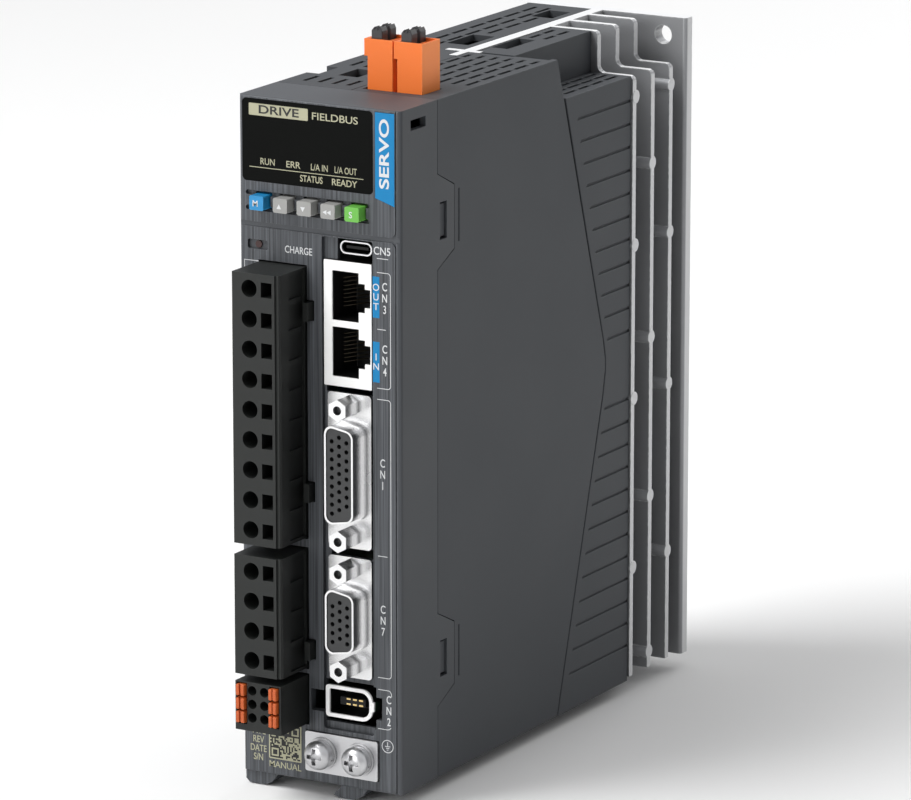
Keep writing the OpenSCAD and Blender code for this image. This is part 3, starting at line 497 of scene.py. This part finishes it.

# ---------------------------------------------------------------------------------------------
# Five keys in silicone-coated plastic stand out of the panel: blue, three grey and green. Each has
# a white sign printed on its face and returns by its own spring.
# The lighter edges of the keys are wear and a painted highlight.
key_blue = grained("Key_blue", (0.010, 0.23, 0.50), 0.42, drift=0.06, size=3000.0, bump=0.05,
                   edge_wear_and_highlight=(0.1, 0.42, 0.72), edge_wear_and_highlight_amount=0.5)[0]
key_grey = grained("Key_grey", (0.30, 0.30, 0.29), 0.48, drift=0.06, size=3000.0, bump=0.05,
                   edge_wear_and_highlight=(0.5, 0.5, 0.49), edge_wear_and_highlight_amount=0.5)[0]
key_green = grained("Key_green", (0.125, 0.43, 0.055), 0.42, drift=0.06, size=3000.0, bump=0.05,
                    edge_wear_and_highlight=(0.3, 0.6, 0.2), edge_wear_and_highlight_amount=0.5)[0]
paint(key_blue, "key_mode")
paint(key_grey, "key_up", "key_down", "key_shift")
paint(key_green, "key_set")
round_edges(0.00035, "key_mode", "key_up", "key_down", "key_shift", "key_set")
for key in ("key_mode", "key_up", "key_down", "key_shift", "key_set"):
    low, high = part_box(key)
    x, z, y = (low[0] + high[0]) * 500 - 0.3, (low[2] + high[2]) * 500 - 0.2, low[1]
    if key == "key_mode":
        words("sign_mode", "M", x, z, 1.5, white_ink, body=key, y=y, bold=0.03)
    elif key == "key_set":
        words("sign_set", "S", x, z, 1.5, white_ink, body=key, y=y, bold=0.03)
    elif key == "key_shift":
        for i, dx in enumerate((-1.1, 0.1)):
            outline_piece("sign_shift_%d" % (i + 1),
                          [((x + dx) / 1000, z / 1000), ((x + dx + 1.1) / 1000, (z - 0.6) / 1000),
                           ((x + dx + 1.1) / 1000, (z + 0.6) / 1000)], y - INK, INK, white_ink, body=key)
    else:
        tip = 0.6 if key == "key_up" else -0.6
        outline_piece("sign_" + key[4:],
                      [((x - 0.65) / 1000, (z - tip) / 1000), ((x + 0.65) / 1000, (z - tip) / 1000),
                       (x / 1000, (z + tip) / 1000)], y - INK, INK, white_ink, body=key)

# ---------------------------------------------------------------------------------------------
# White legends are screen printed on the front pads: connector names, port frames and the earth
# sign. Thin frames with one rounded corner tie each name to its connector.


def hairline(name, points, width=0.2, y=None):
    """A printed line through (x, z) points in millimetres."""
    curve = bpy.data.curves.new(name, "CURVE")
    curve.dimensions = "3D"
    curve.bevel_depth = width / 2000
    curve.bevel_resolution = 1
    line = curve.splines.new("POLY")
    line.points.add(len(points) - 1)
    for point, (x, z) in zip(line.points, points):
        point.co = (x / 1000, 0.0, z / 1000, 1.0)
    curve.materials.append(white_ink)
    piece = bpy.data.objects.new(name, curve)
    piece.scale = (1.0, 0.2, 1.0)
    piece.location.y = panel_y if y is None else y
    bpy.context.collection.objects.link(piece)
    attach(piece, "drive")
    return piece


def bracket(name, x0, x1, z_top, z_low, r=0.8):
    """A frame that opens to the left: top line, rounded corner, upright, rounded corner, low line."""
    points = [(x0, z_top)]
    for i in range(7):
        a = math.radians(90 - 15 * i)
        points.append((x1 - r + r * math.cos(a), z_top - r + r * math.sin(a)))
    for i in range(7):
        a = math.radians(-15 * i)
        points.append((x1 - r + r * math.cos(a), z_low + r + r * math.sin(a)))
    points.append((x0, z_low))
    hairline(name, points)


words("charge_words", "CHARGE", -5.9, 48.9, 1.75, white_ink, stretch=0.79, bold=0.02)
words("port_words_5", "CN5", 17.9, 51.3, 1.9, white_ink, stretch=0.9, bold=0.02)
hairline("port_rule_5", [(16.4, 49.5), (19.6, 49.5)])
bracket("port_frame_3_4", 16.4, 20.2, 46.0, 17.0)
hairline("port_rule_3_4", [(16.5, 31.8), (18.9, 31.8)])
bracket("port_frame_1_7", 16.4, 20.2, 14.2, -56.6)
hairline("port_rule_1_7", [(16.5, -25.5), (19.2, -25.5)])
hairline("port_hook_2_top", [(16.4, -59.7), (19.4, -59.7), (19.9, -59.9), (20.2, -60.4), (20.3, -61.2)])
hairline("port_hook_2_low", [(16.4, -69.8), (19.2, -69.8), (19.7, -69.6), (20.1, -69.2)])
for number, x, z in ((3, 18.6, 39.6), (4, 18.6, 24.0), (1, 17.9, -4.8), (7, 17.9, -42.0), (2, 19.5, -65.0)):
    words("port_words_%d" % number, "C\nN\n%d" % number, x, z, 2.0, white_ink, stretch=0.72, bold=0.03,
          step=2.85)
for label, text, z0, z1 in (("out", "O\nU\nT", 34.6, 44.9), ("in", "I\nN", 18.4, 28.6)):
    outline_piece("port_tag_" + label, [(x / 1000, z / 1000) for x, z in
                                        ((15.2, z0), (17.1, z0), (17.1, z1), (15.2, z1))],
                  panel_y - INK, INK, strip_blue)
    words("port_tag_words_" + label, text, 16.15, (z0 + z1) / 2, 1.7, white_ink, y=panel_y - INK, bold=0.02,
          step=2.4)
sign_x, sign_z, sign_r = 19.1, -74.1, 1.6
turns = [math.radians(15 * i) for i in range(25)]
hairline("earth_ring", [(sign_x + sign_r * math.cos(a), sign_z + sign_r * math.sin(a)) for a in turns], 0.22)
hairline("earth_stem", [(sign_x, sign_z + 1.1), (sign_x, sign_z)], 0.2)
for i, half in enumerate((0.75, 0.48, 0.2)):
    bar_z = sign_z - 0.45 * i
    hairline("earth_bar_%d" % (i + 1), [(sign_x - half, bar_z), (sign_x + half, bar_z)], 0.2)

# ---------------------------------------------------------------------------------------------
# The identification label at the foot of the panel: cream print with a square of random modules
# that stands in for a 2-D code, and plain words beside and below it.
random.seed(7)
code_x, code_z, code_side, modules = -15.05, -81.85, 8.8, 21
module = code_side / modules
finders = ((0, 0), (0, modules - 7), (modules - 7, modules - 7))
code = bpy.data.meshes.new("label_code")
shape = bmesh.new()
for i in range(modules):
    for j in range(modules):
        ring = None
        for ci, cj in finders:
            if ci <= i < ci + 7 and cj <= j < cj + 7:
                ring = max(abs(i - ci - 3), abs(j - cj - 3))
        dark = ring in (0, 1, 3) if ring is not None else random.random() < 0.47
        if dark:
            x, z = code_x + i * module, code_z + j * module
            shape.faces.new([shape.verts.new((px / 1000, panel_y - 2 * INK, pz / 1000)) for px, pz in
                             ((x, z), (x + module, z), (x + module, z + module), (x, z + module))])
shape.to_mesh(code)
shape.free()
code.materials.append(black_ink)
code_piece = bpy.data.objects.new("label_code", code)
bpy.context.collection.objects.link(code_piece)
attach(code_piece, "drive")
outline_piece("label_ground", round_corners(-15.4, -5.9, -82.2, -72.7, 0.3), panel_y - INK, INK, cream_ink)
words("label_words_side", "TYPE\nREV\nDATE\nS/N", -18.5, -79.0, 1.7, cream_ink, bold=0.02,
      stretch=0.78, step=2.3)
words("label_words_foot", "MANUAL", -10.7, -83.7, 1.6, cream_ink, bold=0.02)
hairline("plug_corner", [(-21.5, 42.8), (-21.5, 45.1), (-17.4, 45.1)])

# ---------------------------------------------------------------------------------------------
# The charge lamp shows through a small recess as a dull red light pipe.
lamp_red = grained("Lamp_red", (0.035, 0.006, 0.005), 0.4, drift=0.1, size=1500.0, bump=0.02)[0]
paint(lamp_red, "charge_light", "led_display")

# ---------------------------------------------------------------------------------------------
# The three pluggable power connectors are black glass-filled nylon with a satin moulded skin.
# They push into headers of the same plastic that show in the gaps around them. The brake plug
# has six orange levers.
# Edges get wear and a painted highlight, and narrow gaps get painted shade.
nylon_made = shaded_gaps(grained("Nylon_black", (0.015, 0.0165, 0.0155), 0.46, drift=0.12, size=2600.0, spread=0.15,
                                 bump=0.12, edge_wear_and_highlight=(0.06, 0.065, 0.063), edge_wear_and_highlight_amount=0.5, specular=0.3))
# Painted shade: the right-facing faces of the black nylon are painted darker.
nylon_black = painted_light_faces(nylon_made, RIGHT, (0.005, 0.0055, 0.005), 0.8)[0]
paint(nylon_black, "power_plug", "motor_plug", "brake_plug", "power_header", "motor_header", "brake_header",
      "top_header", "key_switches", "power_module", "bridge_rectifier", "control_chips")
round_edges(0.00018, "power_plug", "motor_plug", "brake_plug")
# The lighter edges of the levers are wear and a painted highlight.
lever_orange = grained("Lever_orange", (0.50, 0.088, 0.012), 0.5, drift=0.08, size=2600.0, bump=0.08,
                       edge_wear_and_highlight=(0.72, 0.26, 0.1), edge_wear_and_highlight_amount=0.4)[0]
for i in range(6):
    paint(lever_orange, "brake_lever_%d" % (i + 1))
    round_edges(0.0003, "brake_lever_%d" % (i + 1))

# ---------------------------------------------------------------------------------------------
# The two top plugs are orange nylon, each with two dark grey levers whose ribs give a fingertip
# grip, and two funnels that lead the bare wires in.
# Edges get wear and a painted highlight.
orange_made = grained("Plug_orange", (0.86, 0.175, 0.016), 0.42, drift=0.06, size=2600.0, bump=0.08,
                      edge_wear_and_highlight=(0.95, 0.42, 0.18), edge_wear_and_highlight_amount=0.5)
# Painted light: the right-facing faces of the orange plugs get a lighter, warmer tone.
plug_orange = painted_light_faces(orange_made, RIGHT, (1.0, 0.27, 0.05))[0]
# The lighter edges of the levers are wear and a painted highlight.
lever_dark = grained("Lever_dark", (0.03, 0.03, 0.032), 0.45, drift=0.1, size=2600.0, bump=0.1,
                     edge_wear_and_highlight=(0.1, 0.1, 0.1), edge_wear_and_highlight_amount=0.5)[0]
paint(plug_orange, "top_plug_a", "top_plug_b")
paint(lever_dark, "top_lever_a1", "top_lever_a2", "top_lever_b1", "top_lever_b2")
round_edges(0.00018, "top_plug_a", "top_plug_b", "top_lever_a1", "top_lever_a2", "top_lever_b1", "top_lever_b2")

# ---------------------------------------------------------------------------------------------
# The double network jack has a white face, and behind it the port wells are painted dark as shade.
# Eight gilt contact wires slope through each port, deep in the well, and are painted dark as shade too.


def depth_shade_group():
    """Depth shade: a mask that turns from 0 to 1 behind a plane that faces the front, for painted shade in deep
    places.
    """
    group, given, result = new_group("Depth", [("Plane", "Float", -0.15), ("Blend", "Float", 0.0002)],
                                     [("Mask", "Float")])
    place = add_node(group, "ShaderNodeTexCoord")
    parts = add_node(group, "ShaderNodeSeparateXYZ")
    behind = add_node(group, "ShaderNodeMath", operation="SUBTRACT")
    ratio = add_node(group, "ShaderNodeMath", operation="DIVIDE", use_clamp=True)
    link = group.links.new
    link(place.outputs["Object"], parts.inputs["Vector"])
    link(parts.outputs["Y"], behind.inputs[0])
    link(given.outputs["Plane"], behind.inputs[1])
    link(behind.outputs["Value"], ratio.inputs[0])
    link(given.outputs["Blend"], ratio.inputs[1])
    link(ratio.outputs["Value"], result.inputs["Mask"])
    return group


depth_shade_mask = depth_shade_group()


def shade_behind(made, plane, colour=(0.004, 0.004, 0.004)):
    """Paints shade on a finish behind a plane: the walls of a port well."""
    deep = place_group(made[1], depth_shade_mask, Plane=plane)
    return layered(made, deep.outputs["Mask"], colour)


jack_low, jack_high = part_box("network_jack")
# Painted shade: the port wells behind the white face are painted near black.
jack_white = shade_behind(grained("Jack_white", (0.95, 0.95, 0.94), 0.4, drift=0.04, size=2400.0, bump=0.05),
                         jack_low[1] + 0.0003)[0]
paint(jack_white, "network_jack")
round_edges(0.0002, "network_jack")
gilt = grained("Gilt_contact", (0.83, 0.62, 0.28), 0.3, 1.0, drift=0.08, size=2000.0, bump=0.04)[0]
# The wire gilt is painted dark: painted shade deep in the port well.
shaded_gilt = grained("Shaded_gilt_wire", (0.035, 0.026, 0.014), 0.5, 0.5, drift=0.2, size=2000.0, bump=0.04)[0]
jack_middle = (jack_low[2] + jack_high[2]) * 500
half_port_step, wire_step = 7.05, 1.02
front, back = jack_low[1] * 1000 + 4.5, jack_low[1] * 1000 + 11.7
for label, port_z in (("upper", jack_middle + half_port_step), ("lower", jack_middle - half_port_step)):
    for i in range(8):
        z = port_z + (i - 3.5) * wire_step
        curve = bpy.data.curves.new("port_wire_%s_%d" % (label, i + 1), "CURVE")
        curve.dimensions = "3D"
        curve.bevel_depth = 0.00015
        wire = curve.splines.new("POLY")
        wire.points.add(2)
        for point, (x, y) in zip(wire.points, ((3.9, front + 0.6), (4.3, front), (7.6, back - 0.4))):
            point.co = (x / 1000, y / 1000, z / 1000, 1.0)
        curve.materials.append(shaded_gilt)
        piece = bpy.data.objects.new("port_wire_%s_%d" % (label, i + 1), curve)
        bpy.context.collection.objects.link(piece)
        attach(piece, "drive")

# ---------------------------------------------------------------------------------------------
# Both D-sub shells, the data socket and the jack screws are bright nickel over steel. The inserts
# are dark grey plastic with a fine satin skin, so that the contact holes stand out.


def reflection_group():
    """Dark reflections: soft bands across the depth of surfaces that look sideways."""
    group, given, result = new_group("Dark reflections", [("Bands per metre", "Float", 60.0),
                                                          ("Start", "Float", 0.0)], [("Mask", "Float")])
    place = add_node(group, "ShaderNodeTexCoord")
    parts = add_node(group, "ShaderNodeSeparateXYZ")
    faces = add_node(group, "ShaderNodeSeparateXYZ")
    shifted = add_node(group, "ShaderNodeMath", operation="SUBTRACT")
    phase = add_node(group, "ShaderNodeMath", operation="MULTIPLY")
    wave = add_node(group, "ShaderNodeMath", operation="COSINE")
    level = add_node(group, "ShaderNodeMapRange", From_Min=-0.7, From_Max=0.9)
    sideways = add_node(group, "ShaderNodeMapRange", From_Min=-0.9, From_Max=-0.5)
    both = add_node(group, "ShaderNodeMath", operation="MULTIPLY")
    link = group.links.new
    link(place.outputs["Object"], parts.inputs["Vector"])
    link(place.outputs["Normal"], faces.inputs["Vector"])
    link(parts.outputs["Y"], shifted.inputs[0])
    link(given.outputs["Start"], shifted.inputs[1])
    link(shifted.outputs["Value"], phase.inputs[0])
    link(given.outputs["Bands per metre"], phase.inputs[1])
    link(phase.outputs["Value"], wave.inputs[0])
    link(wave.outputs["Value"], level.inputs["Value"])
    link(faces.outputs["Y"], sideways.inputs["Value"])
    link(level.outputs["Result"], both.inputs[0])
    link(sideways.outputs["Result"], both.inputs[1])
    link(both.outputs["Value"], result.inputs["Mask"])
    return group


dark_reflections = reflection_group()
shell_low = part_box("dsub_shells")[0]
# Edges get wear and a painted highlight.
nickel_made = grained("Nickel_plate", (0.80, 0.80, 0.805), 0.26, 0.9, drift=0.08, size=1200.0, spread=0.12, bump=0.03,
                      edge_wear_and_highlight=(0.95, 0.95, 0.95), edge_wear_and_highlight_amount=0.5)
# Painted reflections: soft dark bands across the depth of the sideways faces of the nickel.
bands = place_group(nickel_made[1], dark_reflections, Bands_per_metre=1100.0, Start=shell_low[1] + 0.0008)
nickel = layered(nickel_made, bands.outputs["Mask"], (0.10, 0.10, 0.105), 0.85)[0]
paint(nickel, "dsub_shells", "jack_screws")
socket_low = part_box("usb_socket")[0]
# Painted shade: the socket shell is painted dark behind its front edge.
socket_metal = shade_behind(grained("Socket_shell", (0.72, 0.72, 0.73), 0.3, 0.7, drift=0.1, size=1200.0, bump=0.04),
                           socket_low[1] + 0.00035, (0.012, 0.012, 0.012))[0]
paint(socket_metal, "usb_socket")
round_edges(0.00015, "dsub_shells", "jack_screws")
insert_grey = grained("Insert_grey", (0.030, 0.031, 0.032), 0.5, drift=0.1, size=2600.0, bump=0.08)[0]
paint(insert_grey, "dsub_inserts")

# ---------------------------------------------------------------------------------------------
# The encoder socket has a pale plated frame and a dark tongue. Six short gilt contacts sit in two
# rows at the end of the tongue.
# Painted shade: the pale frame is painted dark behind its front edge, inside the socket.
frame_pale = shade_behind(grained("Frame_pale", (0.90, 0.90, 0.90), 0.35, 0.2, drift=0.04, size=1800.0, bump=0.04),
                         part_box("encoder_shell")[0][1] + 0.0005)[0]
paint(frame_pale, "encoder_shell")
round_edges(0.00012, "encoder_shell")
tongue_black = grained("Tongue_black", (0.010, 0.010, 0.011), 0.55, drift=0.1, size=2400.0, bump=0.05,
                       specular=0.2)[0]
paint(tongue_black, "encoder_insert")
tongue_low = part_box("encoder_insert")[0]
frame_low, frame_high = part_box("encoder_shell")
contact_step, contact_length, contact_width, contact_thick = 0.0018, 0.0011, 0.0004, 0.00005
rows = ((frame_low[2] + frame_high[2]) / 2 + 0.00055, (frame_low[2] + frame_high[2]) / 2 - 0.00075)
for i in range(6):
    x, z = tongue_low[0] + contact_step * (1 + i % 3), rows[i // 3]
    outline_piece("encoder_contact_%d" % (i + 1),
                  [(x, z), (x + contact_length, z), (x + contact_length, z + contact_width),
                   (x, z + contact_width)], tongue_low[1] - contact_thick, contact_thick, gilt)

# ---------------------------------------------------------------------------------------------
# The earth plate is zinc-plated steel, clamped by two pan-head screws with washers in the same
# finish. The board screws and spacers inside share it.
# Edges get wear and a painted highlight, and narrow gaps get painted shade.
zinc = shaded_gaps(grained("Zinc_plate", (0.56, 0.56, 0.57), 0.34, 0.9, drift=0.18, size=1400.0, spread=0.25,
                           bump=0.15, edge_wear_and_highlight=(0.85, 0.85, 0.85), edge_wear_and_highlight_amount=0.6), reach=0.001, factor=0.9)[0]
paint(zinc, "ground_plate", "ground_washers_a", "ground_washers_b", "ground_screw_a", "ground_screw_b",
      "board_spacers", "board_screws")
round_edges(0.00025, "ground_plate")
round_edges(0.00012, "ground_washers_a", "ground_washers_b", "ground_screw_a", "ground_screw_b")

# ---------------------------------------------------------------------------------------------
# Inside: green boards and the large parts on them, which show through the vents.
board_green = grained("Board_green", (0.02, 0.13, 0.055), 0.35, drift=0.2, size=700.0, bump=0.08)[0]
paint(board_green, "control_board", "power_board", "display_board")
sleeve_blue = grained("Capacitor_sleeve", (0.03, 0.05, 0.14), 0.3, drift=0.1, size=600.0, bump=0.03)[0]
paint(sleeve_blue, "dc_capacitors")
pad_grey = grained("Thermal_pad", (0.5, 0.5, 0.53), 0.8, drift=0.1, size=1500.0, bump=0.1)[0]
paint(pad_grey, "thermal_pads")
relay_pale = grained("Relay_case", (0.7, 0.7, 0.66), 0.5, drift=0.06, size=1500.0, bump=0.05)[0]
paint(relay_pale, "inrush_relay")
tape_yellow = grained("Transformer_tape", (0.62, 0.45, 0.1), 0.45, drift=0.15, size=900.0, bump=0.1)[0]
paint(tape_yellow, "transformer")
copper = grained("Copper_wire", (0.6, 0.27, 0.12), 0.35, 0.8, drift=0.2, size=900.0, bump=0.3)[0]
paint(copper, "line_choke")
paint(gilt, "header_pins")

# ---------------------------------------------------------------------------------------------
# The setting: a plain pale floor and soft studio light from large panels.


def soft_panel(name, place, target, size, power, colour=(1.0, 1.0, 1.0)):
    """A square light panel that faces a point."""
    lamp = bpy.data.lights.new(name, "AREA")
    lamp.size = size
    lamp.energy = power
    lamp.color = colour
    holder = bpy.data.objects.new(name, lamp)
    bpy.context.collection.objects.link(holder)
    holder.location = place
    holder.rotation_mode = "QUATERNION"
    holder.rotation_quaternion = (Vector(target) - Vector(place)).to_track_quat("-Z", "Y")
    return holder


soft_panel("Panel_top_left", (-0.9, -0.9, 1.6), (0, -0.08, 0), 1.0, 34.0)
soft_panel("Panel_front", (-0.5, -2.2, 0.5), (0, -0.1, 0), 1.2, 15.0)
soft_panel("Panel_right", (1.8, -0.2, 0.5), (0, -0.05, 0), 1.2, 1.2)
soft_panel("Panel_back", (0.3, 1.6, 1.0), (0, 0, 0.05), 1.2, 14.0)
world = bpy.data.worlds.new("Pale_room")
world.use_nodes = True
pale = world.node_tree.nodes["Background"]
pale.inputs["Color"].default_value = (1.0, 1.0, 1.0, 1.0)
pale.inputs["Strength"].default_value = 0.34
shaded = add_node(world.node_tree, "ShaderNodeBackground")
heights = add_node(world.node_tree, "ShaderNodeTexCoord")
levels = add_node(world.node_tree, "ShaderNodeSeparateXYZ")
grade = add_node(world.node_tree, "ShaderNodeValToRGB")
grade.color_ramp.elements[0].position, grade.color_ramp.elements[0].color = 0.35, (0.05, 0.05, 0.052, 1.0)
grade.color_ramp.elements[1].position, grade.color_ramp.elements[1].color = 0.75, (0.75, 0.76, 0.78, 1.0)
raise_level = add_node(world.node_tree, "ShaderNodeMath", operation="MULTIPLY_ADD")
raise_level.inputs[1].default_value, raise_level.inputs[2].default_value = 0.5, 0.5
seen = add_node(world.node_tree, "ShaderNodeLightPath")
either = add_node(world.node_tree, "ShaderNodeMixShader")
link = world.node_tree.links.new
link(heights.outputs["Generated"], levels.inputs["Vector"])
link(levels.outputs["Z"], raise_level.inputs[0])
link(raise_level.outputs["Value"], grade.inputs["Fac"])
link(grade.outputs["Color"], shaded.inputs["Color"])
link(seen.outputs["Is Glossy Ray"], either.inputs["Fac"])
link(pale.outputs["Background"], either.inputs[1])
link(shaded.outputs["Background"], either.inputs[2])
link(either.outputs["Shader"], world.node_tree.nodes["World Output"].inputs["Surface"])
bpy.context.scene.world = world
floor_mesh = bpy.data.meshes.new("Floor")
shape = bmesh.new()
low_z = cad_low[2] - 0.0002
shape.faces.new([shape.verts.new((x, y, low_z)) for x, y in ((-15, -15), (15, -15), (15, 15), (-15, 15))])
shape.to_mesh(floor_mesh)
shape.free()
floor_pale, floor_tree, floor_shader = new_finish("Floor_pale", (0.93, 0.93, 0.93), 0.9)
floor_mesh.materials.append(floor_pale)
floor = bpy.data.objects.new("Floor", floor_mesh)
bpy.context.collection.objects.link(floor)

bpy.context.view_layer.update()
